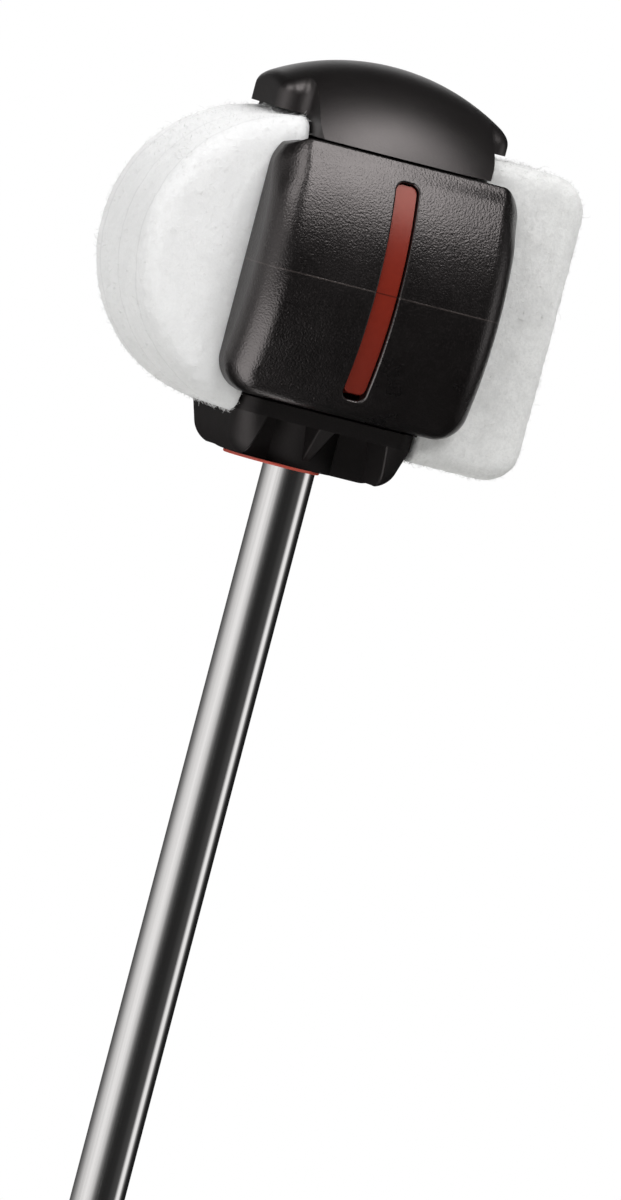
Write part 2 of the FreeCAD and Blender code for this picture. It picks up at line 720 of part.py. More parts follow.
def make_weight(label, turn):
    """Red weight behind a cover's face, with the raised rib that shows in the slot."""
    body = new_body(label, turn=turn)
    low = "cover_middle - weight_half_z"
    high = "cover_middle + weight_half_z"
    plate = new_sketch(body, "YZ_Plane")
    outline(plate, ("-weight_back", low), *crowned("(cover_wall + weight_gap)", low, high),
            ("-weight_back", high))
    feature(body, "Pad", plate, "2*weight_half_x", symmetric=True)
    rib = new_sketch(body, "YZ_Plane")
    outline(rib, ("-weight_back", "rib_low"), *crowned("rib_recess", "rib_low", "rib_high"),
            ("-weight_back", "rib_high"))
    feature(body, "Pad", rib, "2*rib_half", symmetric=True)
    half = value("rib_half")
    rounded(body, "rib_corner", lambda edge: runs_along(edge, 1)
            and abs(abs(edge.CenterOfMass.x) - half) < 1e-3)
    return body


def make_weight_foam(label, turn):
    """Foam block bonded behind a weight, which keeps it from rattling."""
    body = new_body(label, turn=turn)
    plan = new_sketch(body, "XZ_Plane", offset="core_half_y + foam_gap")
    rectangle(plan, "-foam_half_x", "foam_half_x",
              "cover_middle - foam_half_z", "cover_middle + foam_half_z")
    feature(body, "Pad", plan, "weight_back - core_half_y - foam_gap")
    return body


def build():
    """Make every piece, in the order in which the beater is put together."""
    pieces = [
        make_shaft(), make_shaft_bush(), make_base_bracket(), make_roll_pin(), make_bracket_screws(),
        make_core_block(), make_washer("flat_washer", "washer_seat", "washer_dia", "washer_thick"),
        make_lock_washer(), make_hex_nut(), make_top_cap(), make_round_felt_pad(), make_flat_felt_pad(),
        make_carrier("round_pad_carrier", "-"), make_carrier("flat_pad_carrier", ""),
    ]
    for place, turn in (("front", 0), ("rear", 180)):
        pieces.append(make_cover(place + "_cover", turn))
        pieces.append(make_weight(place + "_weight", turn))
        pieces.append(make_weight_foam(place + "_weight_foam", turn))
    return pieces


def check(pieces):
    """Stop if anything in the document failed, or a piece is empty or broken."""
    failed = [item.Label for item in doc.Objects if {"Invalid", "Error"} & set(item.State)]
    broken = [piece.Label for piece in pieces if piece.Shape.isNull() or not piece.Shape.isValid()]
    if failed or broken:
        raise RuntimeError("failed: %s, broken: %s" % (failed, broken))


def export(pieces):
    """Write each piece's shape under its own name."""
    os.makedirs(PARTS_FOLDER, exist_ok=True)
    for piece in pieces:
        piece.Shape.exportStep(os.path.join(PARTS_FOLDER, piece.Label + ".step"))
        box = piece.Shape.BoundBox
        print("%-18s %9.1f mm3  solids %d  x %.2f..%.2f  y %.2f..%.2f  z %.2f..%.2f" % (
            piece.Label, piece.Shape.Volume, len(piece.Shape.Solids),
            box.XMin, box.XMax, box.YMin, box.YMax, box.ZMin, box.ZMax))


pieces = build()
doc.recompute()
check(pieces)
export(pieces)
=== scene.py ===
"""Looks of a two-faced bass drum beater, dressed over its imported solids.

The steel shaft, the bracket, the core, the carriers, the cap and the weights keep their solids and
get their finishes here. Each cover is a copy of its solid, eased into the softer shell of the real
one. The two felt pads and the foam strips are modelled anew, with the stray fibres of the felt as
thin tubes.
"""
import logging
import math
import random
from dataclasses import dataclass
from enum import Enum

import bmesh
import bpy
from mathutils import Matrix, Vector, noise


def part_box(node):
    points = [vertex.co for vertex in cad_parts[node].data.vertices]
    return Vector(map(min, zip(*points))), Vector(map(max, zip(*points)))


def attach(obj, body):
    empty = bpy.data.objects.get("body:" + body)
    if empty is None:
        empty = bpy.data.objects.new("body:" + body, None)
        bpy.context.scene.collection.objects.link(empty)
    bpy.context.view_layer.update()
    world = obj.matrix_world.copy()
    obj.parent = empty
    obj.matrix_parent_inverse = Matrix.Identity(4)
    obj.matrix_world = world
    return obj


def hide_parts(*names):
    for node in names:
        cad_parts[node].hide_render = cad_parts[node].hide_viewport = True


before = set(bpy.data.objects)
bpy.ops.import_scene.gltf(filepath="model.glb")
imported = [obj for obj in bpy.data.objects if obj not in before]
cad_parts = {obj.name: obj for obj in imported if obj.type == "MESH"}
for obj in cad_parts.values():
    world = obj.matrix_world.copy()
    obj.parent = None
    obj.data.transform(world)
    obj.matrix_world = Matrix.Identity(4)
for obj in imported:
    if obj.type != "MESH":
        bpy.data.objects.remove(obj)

LOG = logging.getLogger("beater")
MM = 0.001
TOLERANCE = 1e-6
HEAD_BODY = "head"
BRACKET_FOOT = Vector((0.0, 0.0, 0.130))
HEAD_MIDDLE = Vector((0.0, 0.0, 0.160))

# Sockets of a Mix node that mixes two colours.
FACTOR, COLOUR_A, COLOUR_B, MIXED = 0, 6, 7, 2

# Half the width of a parting line, where it is full and where it has faded away.
LINE_FULL, LINE_FADED = 0.05 * MM, 0.13 * MM


def linear(code: str) -> tuple[float, float, float, float]:
    """Turn an sRGB hex colour into the linear colour that a shader takes.

    Args:
        code: six hex digits with a leading hash.

    Returns:
        Red, green, blue and an alpha of 1.
    """
    shares = [int(code[i:i + 2], 16) / 255 for i in (1, 3, 5)]
    return (*[s / 12.92 if s <= 0.04045 else ((s + 0.055) / 1.055) ** 2.4 for s in shares], 1.0)


def grey(level: float) -> tuple[float, float, float, float]:
    """Give neutral light of one level, where 1 is white."""
    return (level, level, level, 1.0)


def smoothstep(share: float) -> float:
    """Ease a share from 0 to 1, level at both ends."""
    share = min(1.0, max(0.0, share))
    return share * share * (3 - 2 * share)


def compass(azimuth: float, elevation: float) -> Vector:
    """Point from the head towards a place round it.

    Args:
        azimuth: degrees from the front, positive to the right.
        elevation: degrees above the head.

    Returns:
        The direction, one unit long.
    """
    turn, rise = math.radians(azimuth), math.radians(elevation)
    level = math.cos(rise)
    return Vector((math.sin(turn) * level, -math.cos(turn) * level, math.sin(rise)))


def add_node(
        tree: bpy.types.NodeTree, kind: str, inputs: dict[str | int, object] | None = None,
        **settings: object) -> bpy.types.Node:
    """Add a node, set its options and fill or link its inputs.

    Args:
        tree: the node tree that gets the node.
        kind: Blender's name for the node type.
        inputs: input name or index to a value, or to the socket that feeds it.
        settings: the node's own options.

    Returns:
        The new node.
    """
    node = tree.nodes.new(kind)
    for name, value in settings.items():
        setattr(node, name, value)
    for key, value in (inputs or {}).items():
        if isinstance(value, bpy.types.NodeSocket):
            tree.links.new(value, node.inputs[key])
        else:
            node.inputs[key].default_value = value
    return node


def new_material(
        name: str,
        **surface: object) -> tuple[bpy.types.Material, bpy.types.NodeTree, bpy.types.Node]:
    """Start a material from a bare Principled surface.

    Args:
        name: the material's name.
        surface: values of the surface's sockets, with underscores for spaces.

    Returns:
        The material, its node tree and its Principled node.
    """
    material = bpy.data.materials.new(name)
    material.use_nodes = True
    tree = material.node_tree
    shader = tree.nodes["Principled BSDF"]
    for socket, value in surface.items():
        shader.inputs[socket.replace("_", " ")].default_value = value
    return material, tree, shader


def level_line(
        tree: bpy.types.NodeTree, place: bpy.types.NodeSocket,
        level: float) -> bpy.types.NodeSocket:
    """Mark the fine level line that runs round the covers and across the red strips.

    Args:
        tree: the material's node tree.
        place: the socket that gives the place on the piece.
        level: the line's height.

    Returns:
        A socket that is 1 on the line and 0 off it.
    """
    height = add_node(tree, "ShaderNodeSeparateXYZ", {"Vector": place}).outputs["Z"]
    away = add_node(tree, "ShaderNodeMath", {0: height, 1: level}, operation="SUBTRACT")
    apart = add_node(tree, "ShaderNodeMath", {0: away.outputs[0]}, operation="ABSOLUTE")
    return add_node(tree, "ShaderNodeMapRange", {
        "Value": apart.outputs[0], "From Min": LINE_FULL, "From Max": LINE_FADED,
        "To Min": 1.0, "To Max": 0.0}).outputs[0]


def to_mesh(bm: bmesh.types.BMesh, name: str) -> bpy.types.Mesh:
    """Turn a finished bmesh into a mesh.

    Args:
        bm: the bmesh, which is freed.
        name: the mesh's name.

    Returns:
        The new mesh.
    """
    mesh = bpy.data.meshes.new(name)
    bm.to_mesh(mesh)
    bm.free()
    return mesh


def coat(mesh: bpy.types.Mesh, material: bpy.types.Material) -> None:
    """Give a mesh one finish all over."""
    mesh.materials.clear()
    mesh.materials.append(material)


def dress(material: bpy.types.Material, *nodes: str) -> list[bpy.types.Object]:
    """Give CAD nodes their finish.

    Args:
        material: the finish.
        nodes: names of the nodes that get it.

    Returns:
        The nodes' objects.
    """
    dressed = [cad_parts[name] for name in nodes]
    for node in dressed:
        coat(node.data, material)
    return dressed


def new_piece(name: str, mesh: bpy.types.Mesh, body: str) -> bpy.types.Object:
    """Put a mesh into the scene as a piece that rides on a body.

    Args:
        name: the piece's name.
        mesh: its mesh, placed in the shared frame.
        body: the body that it moves with.

    Returns:
        The new object.
    """
    piece = bpy.data.objects.new(name, mesh)
    bpy.context.scene.collection.objects.link(piece)
    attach(piece, body)
    return piece


class Texture(Enum):
    """How a mould's wall was finished: the grain's depth in mm, and how strongly its peaks are
    painted pale as glints.
    """

    SPARK = (0.052, 0.4)
    SATIN = (0.015, 0.15)


@dataclass(frozen=True)
class ChromePlate:
    """Chrome plate over drawn and polished steel rod."""

    name: str = "chrome_plated_steel"
    colour: str = "#EDEBEA"
    mark_colour: str = "#DAD8D7"
    roughness: float = 0.09
    smoothest: float = 0.6
    roughest: float = 1.7
    mark_width_mm: float = 0.25
    mark_length_mm: float = 30.0

    def material(self) -> bpy.types.Material:
        """Make the chrome's material.

        Returns:
            The material.
        """
        # To the eye it is a hard mirror of the studio, faintly streaked along the rod. Real draw
        # marks are some hundredths of a millimetre wide, so they are drawn coarser to show.
        material, tree, shader = new_material(self.name, Metallic=1.0)
        place = add_node(tree, "ShaderNodeTexCoord").outputs["Object"]
        across, along = (1 / (size * MM) for size in (self.mark_width_mm, self.mark_length_mm))
        drawn = add_node(tree, "ShaderNodeMapping", {
            "Vector": place, "Scale": (across, across, along)})
        marks = add_node(tree, "ShaderNodeTexNoise", {
            "Vector": drawn.outputs[0], "Scale": 1.0, "Detail": 3.0})
        polish = add_node(tree, "ShaderNodeMapRange", {
            "Value": marks.outputs["Fac"], "From Min": 0.3, "From Max": 0.75,
            "To Min": self.roughness * self.smoothest, "To Max": self.roughness * self.roughest})
        tint = add_node(tree, "ShaderNodeMix", {
            FACTOR: marks.outputs["Fac"], COLOUR_A: linear(self.colour),
            COLOUR_B: linear(self.mark_colour)}, data_type="RGBA")
        tree.links.new(polish.outputs[0], shader.inputs["Roughness"])
        tree.links.new(tint.outputs[MIXED], shader.inputs["Base Color"])
        return material


@dataclass(frozen=True)
class MouldedPlastic:
    """Injection moulded plastic with the blasted or spark-eroded wall of its mould on it."""

    name: str
    texture: Texture
    colour: str = "#080707"
    shade: str = "#0D0B0B"
    # The colour of painted glints on the peaks of the grain.
    peak_glint: str = "#262323"
    glint: str = "#FFF6F5"
    roughness: float = 0.42
    smoother: float = 0.03
    rougher: float = 0.04
    shine: float = 0.6
    grain_mm: float = 0.3
    cloud_mm: float = 9.0
    parting_level: float | None = None
    # On the black covers the parting line's colour is a painted highlight along its fine ridge.
    line_colour: str = "#3E3836"
    line_share: float = 0.8
    line_ridge: float = 0.35

    def material(self) -> bpy.types.Material:
        """Make the plastic's material.

        Returns:
            The material.
        """
        # To the eye it is one deep tone with a soft broken gloss; the peaks of the grain are
        # painted pale, as glints of the light.
        # A real mould's grain is about 0.1 mm, so it is drawn coarser to show.
        material, tree, shader = new_material(
            self.name, IOR=1.54, Specular_IOR_Level=self.shine, Specular_Tint=linear(self.glint))
        depth, glint_share = self.texture.value
        place = add_node(tree, "ShaderNodeTexCoord").outputs["Object"]
        grain = add_node(tree, "ShaderNodeTexNoise", {
            "Vector": place, "Scale": 1 / (self.grain_mm * MM), "Detail": 1.0, "Roughness": 0.5})
        cloud = add_node(tree, "ShaderNodeTexNoise", {
            "Vector": place, "Scale": 1 / (self.cloud_mm * MM), "Detail": 4.0, "Roughness": 0.6})
        gloss = add_node(tree, "ShaderNodeMapRange", {
            "Value": cloud.outputs["Fac"], "From Min": 0.3, "From Max": 0.7,
            "To Min": self.roughness - self.smoother, "To Max": self.roughness + self.rougher})
        tone = add_node(tree, "ShaderNodeMix", {
            FACTOR: cloud.outputs["Fac"], COLOUR_A: linear(self.colour),
            COLOUR_B: linear(self.shade)}, data_type="RGBA")
        # The peaks of the grain are painted paler: painted glints where the light catches the
        # grain.
        glint_mask = add_node(tree, "ShaderNodeMapRange", {
            "Value": grain.outputs["Fac"], "From Min": 0.5, "From Max": 0.72, "To Max": glint_share})
        glinted = add_node(tree, "ShaderNodeMix", {
            FACTOR: glint_mask.outputs[0], COLOUR_A: tone.outputs[MIXED],
            COLOUR_B: linear(self.peak_glint)}, data_type="RGBA")
        height = grain.outputs["Fac"]
        colour = glinted.outputs[MIXED]
        if self.parting_level is not None:
            seam = level_line(tree, place, self.parting_level)
            left_on = add_node(tree, "ShaderNodeMapRange", {
                "Value": cloud.outputs["Fac"], "From Min": 0.36, "From Max": 0.5,
                "To Max": self.line_share})
            line_shown = add_node(tree, "ShaderNodeMath", {
                0: seam, 1: left_on.outputs[0]}, operation="MULTIPLY").outputs[0]
            # The line is painted paler than the black plastic: a painted highlight along its fine
            # ridge, which the bump raises as well.
            colour = add_node(tree, "ShaderNodeMix", {
                FACTOR: line_shown, COLOUR_A: colour,
                COLOUR_B: linear(self.line_colour)}, data_type="RGBA").outputs[MIXED]
            height = add_node(tree, "ShaderNodeMath", {
                0: line_shown, 1: self.line_ridge, 2: height}, operation="MULTIPLY_ADD").outputs[0]
        relief = add_node(tree, "ShaderNodeBump", {
            "Height": height, "Strength": 1.0, "Distance": depth * MM})
        tree.links.new(gloss.outputs[0], shader.inputs["Roughness"])
        tree.links.new(colour, shader.inputs["Base Color"])
        tree.links.new(relief.outputs[0], shader.inputs["Normal"])
        return material


@dataclass(frozen=True)
class RedLacquer:
    """Baked red lacquer on pressed steel."""

    parting_level: float
    name: str = "red_lacquered_steel"
    colour: str = "#701E12"
    peel_colour: str = "#7A2315"
    line_colour: str = "#4A130B"
    glint: str = "#FFD2C8"
    roughness: float = 0.33
    peel_mm: float = 0.8
    peel_depth_mm: float = 0.03

    def material(self) -> bpy.types.Material:
        """Make the lacquer's material.

        Returns:
            The material.
        """
        # To the eye it is an even deep red with a soft gloss, broken by low bumps of orange peel.
        material, tree, shader = new_material(
            self.name, IOR=1.5, Roughness=self.roughness, Specular_IOR_Level=0.55,
            Specular_Tint=linear(self.glint))
        place = add_node(tree, "ShaderNodeTexCoord").outputs["Object"]
        peel = add_node(tree, "ShaderNodeTexNoise", {
            "Vector": place, "Scale": 1 / (self.peel_mm * MM), "Detail": 2.0})
        tone = add_node(tree, "ShaderNodeMix", {
            FACTOR: peel.outputs["Fac"], COLOUR_A: linear(self.colour),
            COLOUR_B: linear(self.peel_colour)}, data_type="RGBA")
        lined = add_node(tree, "ShaderNodeMix", {
            FACTOR: level_line(tree, place, self.parting_level), COLOUR_A: tone.outputs[MIXED],
            COLOUR_B: linear(self.line_colour)}, data_type="RGBA")
        relief = add_node(tree, "ShaderNodeBump", {
            "Height": peel.outputs["Fac"], "Strength": 0.3, "Distance": self.peel_depth_mm * MM})
        tree.links.new(lined.outputs[MIXED], shader.inputs["Base Color"])
        tree.links.new(relief.outputs[0], shader.inputs["Normal"])
        return material


@dataclass(frozen=True)
class ZincPlate:
    """Zinc plate on small steel parts."""

    name: str = "zinc_plated_steel"
    colour: str = "#A9A9A6"
    bloom_colour: str = "#8C8D8B"
    roughness: float = 0.32
    smoother: float = 0.08
    rougher: float = 0.12
    bloom_mm: float = 1.2

    def material(self) -> bpy.types.Material:
        """Make the zinc's material.

        Returns:
            The material.
        """
        # To the eye it is a dull grey metal with a faint mottled bloom.
        material, tree, shader = new_material(self.name, Metallic=1.0)
        place = add_node(tree, "ShaderNodeTexCoord").outputs["Object"]
        bloom = add_node(tree, "ShaderNodeTexNoise", {
            "Vector": place, "Scale": 1 / (self.bloom_mm * MM), "Detail": 5.0})
        tone = add_node(tree, "ShaderNodeMix", {
            FACTOR: bloom.outputs["Fac"], COLOUR_A: linear(self.colour),
            COLOUR_B: linear(self.bloom_colour)}, data_type="RGBA")
        gloss = add_node(tree, "ShaderNodeMapRange", {
            "Value": bloom.outputs["Fac"], "To Min": self.roughness - self.smoother,
            "To Max": self.roughness + self.rougher})
        tree.links.new(tone.outputs[MIXED], shader.inputs["Base Color"])
        tree.links.new(gloss.outputs[0], shader.inputs["Roughness"])
        return material


@dataclass(frozen=True)
class WoolFelt:
    """Pressed white wool felt, laid up in sheets that show at the cut edges."""

    name: str = "pressed_wool_felt"
    colour: str = "#EBEBEB"
    shade: str = "#E4E4E4"
    sheet_joint: str = "#D4D4D4"
    fibre_mm: float = 0.5
    mat_mm: float = 3.5
    sheet_mm: float = 4.1
    stray_mm: float = 1.6
    joint_mm: float = 0.35
    joint_share: float = 0.55
    nap_mm: float = 0.25

    def material(self) -> bpy.types.Material:
        """Make the felt's material.

        Returns:
            The material.
        """
        # To the eye it is a matte white nap with faint clouds, and with soft grey lines where its
        # sheets meet. Wool fibres are about 0.03 mm thick, so their mat is drawn coarser to show.
        material, tree, shader = new_material(
            self.name, Roughness=0.95, Diffuse_Roughness=0.5, Specular_IOR_Level=0.2,
            Sheen_Weight=0.06, Sheen_Roughness=0.5)
        place = add_node(tree, "ShaderNodeTexCoord").outputs["Object"]
        fibres = add_node(tree, "ShaderNodeTexNoise", {
            "Vector": place, "Scale": 1 / (self.fibre_mm * MM), "Detail": 4.0, "Roughness": 0.65,
            "Distortion": 0.6})
        matted = add_node(tree, "ShaderNodeTexNoise", {
            "Vector": place, "Scale": 1 / (self.mat_mm * MM), "Detail": 5.0, "Roughness": 0.6})
        both = add_node(tree, "ShaderNodeMath", {
            0: fibres.outputs["Fac"], 1: matted.outputs["Fac"]}, operation="MULTIPLY")
        pale = add_node(tree, "ShaderNodeMapRange", {
            "Value": both.outputs[0], "From Min": 0.1, "From Max": 0.34})
        across = add_node(tree, "ShaderNodeSeparateXYZ", {"Vector": place}).outputs["Y"]
        strayed = add_node(tree, "ShaderNodeMath", {
            0: matted.outputs["Fac"], 1: self.stray_mm * MM, 2: across}, operation="MULTIPLY_ADD")
        sheet = add_node(tree, "ShaderNodeMath", {
            0: strayed.outputs[0], 1: self.sheet_mm * MM}, operation="PINGPONG")
        joint = add_node(tree, "ShaderNodeMapRange", {
            "Value": sheet.outputs[0], "From Min": 0.0, "From Max": self.joint_mm * MM,
            "To Min": self.joint_share, "To Max": 0.0})
        nap = add_node(tree, "ShaderNodeMix", {
            FACTOR: pale.outputs[0], COLOUR_A: linear(self.shade),
            COLOUR_B: linear(self.colour)}, data_type="RGBA")
        laid = add_node(tree, "ShaderNodeMix", {
            FACTOR: joint.outputs[0], COLOUR_A: nap.outputs[MIXED],
            COLOUR_B: linear(self.sheet_joint)}, data_type="RGBA")
        relief = add_node(tree, "ShaderNodeBump", {
            "Height": both.outputs[0], "Strength": 0.55, "Distance": self.nap_mm * MM})
        tree.links.new(laid.outputs[MIXED], shader.inputs["Base Color"])
        tree.links.new(relief.outputs[0], shader.inputs["Normal"])
        return material


@dataclass(frozen=True)
class ClosedCellFoam:
    """Dark closed-cell foam, cut from a sheet."""

    name: str = "closed_cell_foam"
    colour: str = "#2E2E30"
    pit_shade_colour: str = "#1C1C1E"
    cell_mm: float = 0.6
    pit_mm: float = 0.15

    def material(self) -> bpy.types.Material:
        """Make the foam's material.

        Returns:
            The material.
        """
        # To the eye it is a dull dark skin, pitted where the cut opens its cells, and the pits are
        # painted darker as shade.
        material, tree, shader = new_material(self.name, Roughness=0.9, Specular_IOR_Level=0.3)
        place = add_node(tree, "ShaderNodeTexCoord").outputs["Object"]
        cells = add_node(tree, "ShaderNodeTexVoronoi", {
            "Vector": place, "Scale": 1 / (self.cell_mm * MM)})
        # Darker towards the middle of each cell, where the bump sinks: painted shade in the pits.
        tone = add_node(tree, "ShaderNodeMix", {
            FACTOR: cells.outputs["Distance"], COLOUR_A: linear(self.pit_shade_colour),
            COLOUR_B: linear(self.colour)}, data_type="RGBA")
        relief = add_node(tree, "ShaderNodeBump", {
            "Height": cells.outputs["Distance"], "Strength": 0.7, "Distance": self.pit_mm * MM})
        tree.links.new(tone.outputs[MIXED], shader.inputs["Base Color"])
        tree.links.new(relief.outputs[0], shader.inputs["Normal"])
        return material


@dataclass
class Shaft:
    """The chromed rod, the red bush round it, and the small steel parts that hold the head."""

    def build(self) -> list[bpy.types.Object]:
        """Dress the rod, the bush and the small steel parts.

        Returns:
            The dressed pieces.
        """
        # Dyed nylon straight from a fine-blasted mould: a clear red with a soft shine.
        nylon = MouldedPlastic(
            "red_nylon", Texture.SATIN, "#CC5444", "#BC4838", "#D66454", roughness=0.4)
        small_parts = ("roll_pin", "bracket_screws", "flat_washer", "lock_washer", "hex_nut")
        return [
            *dress(ChromePlate().material(), "shaft"),
            *dress(nylon.material(), "shaft_bush"),
            *dress(ZincPlate().material(), *small_parts)]


@dataclass
class Head:
    """The moulded bracket, core, cap and carriers."""

    def build(self) -> list[bpy.types.Object]:
        """Dress the moulded pieces.

        Returns:
            The dressed pieces.
        """
        # Plain nylon takes the mould's satin: broad soft highlights over the dome and the arms.
        satin = MouldedPlastic("black_nylon_satin", Texture.SATIN, roughness=0.4, shine=0.7)
        # Glass fibre at the surface scatters the light: a flat black that hardly shines.
        matte = MouldedPlastic(
            "black_glass_filled_nylon", Texture.SATIN, "#0A0909", roughness=0.58, shine=0.32)
        inner = ("core_block", "round_pad_carrier", "flat_pad_carrier")
        return [
            *dress(satin.material(), "top_cap"),
            *dress(matte.material(), "base_bracket", *inner)]


@dataclass
class WeightCovers:
    """The two snap-on covers, each with its lacquered weight and a strip of foam behind it."""

    parting_level: float = 158.65 * MM
    corner_start: float = 15.5 * MM
    corner_end: float = 19.4 * MM
    corner_drop: float = 1.85 * MM
    corner_foot: float = 168.0 * MM
    corner_head: float = 175.0 * MM
    half_width: float = 19.7 * MM
    face_crown: float = 0.9 * MM
    crown_power: int = 4
    crown_back: float = 12.0 * MM
    crown_front: float = 17.5 * MM
    slope_step: float = 0.1 * MM
    foam_edge: float = 0.5 * MM
    foam_fill: float = 0.8

    def build(self) -> list[bpy.types.Object]:
        """Shape and dress the covers, dress the weights, and model the foam strips.

        Returns:
            The pieces.
        """
        # A spark-eroded mould leaves a leathery grain: glossy black that breaks up every highlight.
        shell = MouldedPlastic(
            "black_abs_spark_textured", Texture.SPARK, "#050404", roughness=0.29, shine=0.68,
            parting_level=self.parting_level).material()
        lacquer = RedLacquer(self.parting_level).material()
        foam = ClosedCellFoam().material()
        pieces = dress(lacquer, "front_weight", "rear_weight")
        for side in ("front", "rear"):
            pieces += [self.add_cover(side, shell), self.add_foam(side, foam)]
        return pieces

    def add_cover(self, side: str, shell: bpy.types.Material) -> bpy.types.Object:
        """Copy a cover's solid and ease it into the softer shell of the real cover.

        Args:
            side: which cover it is.
            shell: the cover's finish.

        Returns:
            The cover.
        """
        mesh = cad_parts[f"{side}_cover"].data.copy()
        mesh.name = f"{side}_cover_shell"
        # The solid's own smooth normals are carried over, because merging its triangles loses them.
        kept = mesh.attributes.new("solid_normal", "FLOAT_VECTOR", "CORNER")
        kept.data.foreach_set(
            "vector", [share for normal in mesh.corner_normals for share in normal.vector])
        bm = bmesh.new()
        bm.from_mesh(mesh)
        bmesh.ops.remove_doubles(bm, verts=bm.verts, dist=TOLERANCE)
        layer = bm.loops.layers.float_vector["solid_normal"]
        for face in bm.faces:
            for loop in face.loops:
                loop[layer] = self.turned(loop.vert.co, loop[layer])
        for vert in bm.verts:
            vert.co = self.eased(vert.co)
        bm.to_mesh(mesh)
        bm.free()
        normals = [item.vector.copy() for item in mesh.attributes["solid_normal"].data]
        mesh.attributes.remove(mesh.attributes["solid_normal"])
        mesh.normals_split_custom_set(normals)
        coat(mesh, shell)
        cover = new_piece(mesh.name, mesh, f"{side}_cover_set")
        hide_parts(f"{side}_cover")
        return cover

    def eased(self, spot: Vector) -> Vector:
        """Draw a point of a cover's solid to its place on the softer real shell.

        Args:
            spot: the point on the solid.

        Returns:
            The point, with the upper corners drawn down and the face falling off towards its sides.
        """
        corner = self.corner_end - self.corner_start
        across = smoothstep((abs(spot.x) - self.corner_start) / corner)
        up = smoothstep((spot.z - self.corner_foot) / (self.corner_head - self.corner_foot))
        front = smoothstep((abs(spot.y) - self.crown_back) / (self.crown_front - self.crown_back))
        fall = self.face_crown * (spot.x / self.half_width) ** self.crown_power * front
        drop = self.corner_drop * across * up
        return Vector((spot.x, spot.y - math.copysign(fall, spot.y), spot.z - drop))

    def turned(self, spot: Vector, normal: Vector) -> Vector:
        """Turn a surface normal as easing turns the surface.

        Args:
            spot: the point on the solid.
            normal: the solid's normal there.

        Returns:
            The shell's normal.
        """
        step = self.slope_step
        axes = [Vector(axis) * step for axis in ((1, 0, 0), (0, 1, 0), (0, 0, 1))]
        slopes = Matrix([
            (self.eased(spot + axis) - self.eased(spot - axis)) / (2 * step) for axis in axes])
        return (slopes.inverted() @ normal).normalized()

    def add_foam(self, side: str, foam: bpy.types.Material) -> bpy.types.Object:
        """Model one foam strip as a soft-edged block in the place of its solid.

        Args:
            side: which cover the strip is in.
            foam: the foam's finish.

        Returns:
            The strip.
        """
        low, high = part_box(f"{side}_weight_foam")
        place = Matrix.Translation((low + high) / 2) @ Matrix.Diagonal((*(high - low), 1.0))
        bm = bmesh.new()
        bmesh.ops.create_cube(bm, size=1.0, matrix=place)
        bmesh.ops.bevel(
            bm, geom=bm.edges, offset=self.foam_edge, offset_type="OFFSET", segments=3,
            profile=0.5, affect="EDGES", material=-1)
        mesh = to_mesh(bm, f"{side}_foam_strip")
        coat(mesh, foam)
        strip = new_piece(mesh.name, mesh, f"{side}_cover_set")
        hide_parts(f"{side}_weight_foam")
        return strip


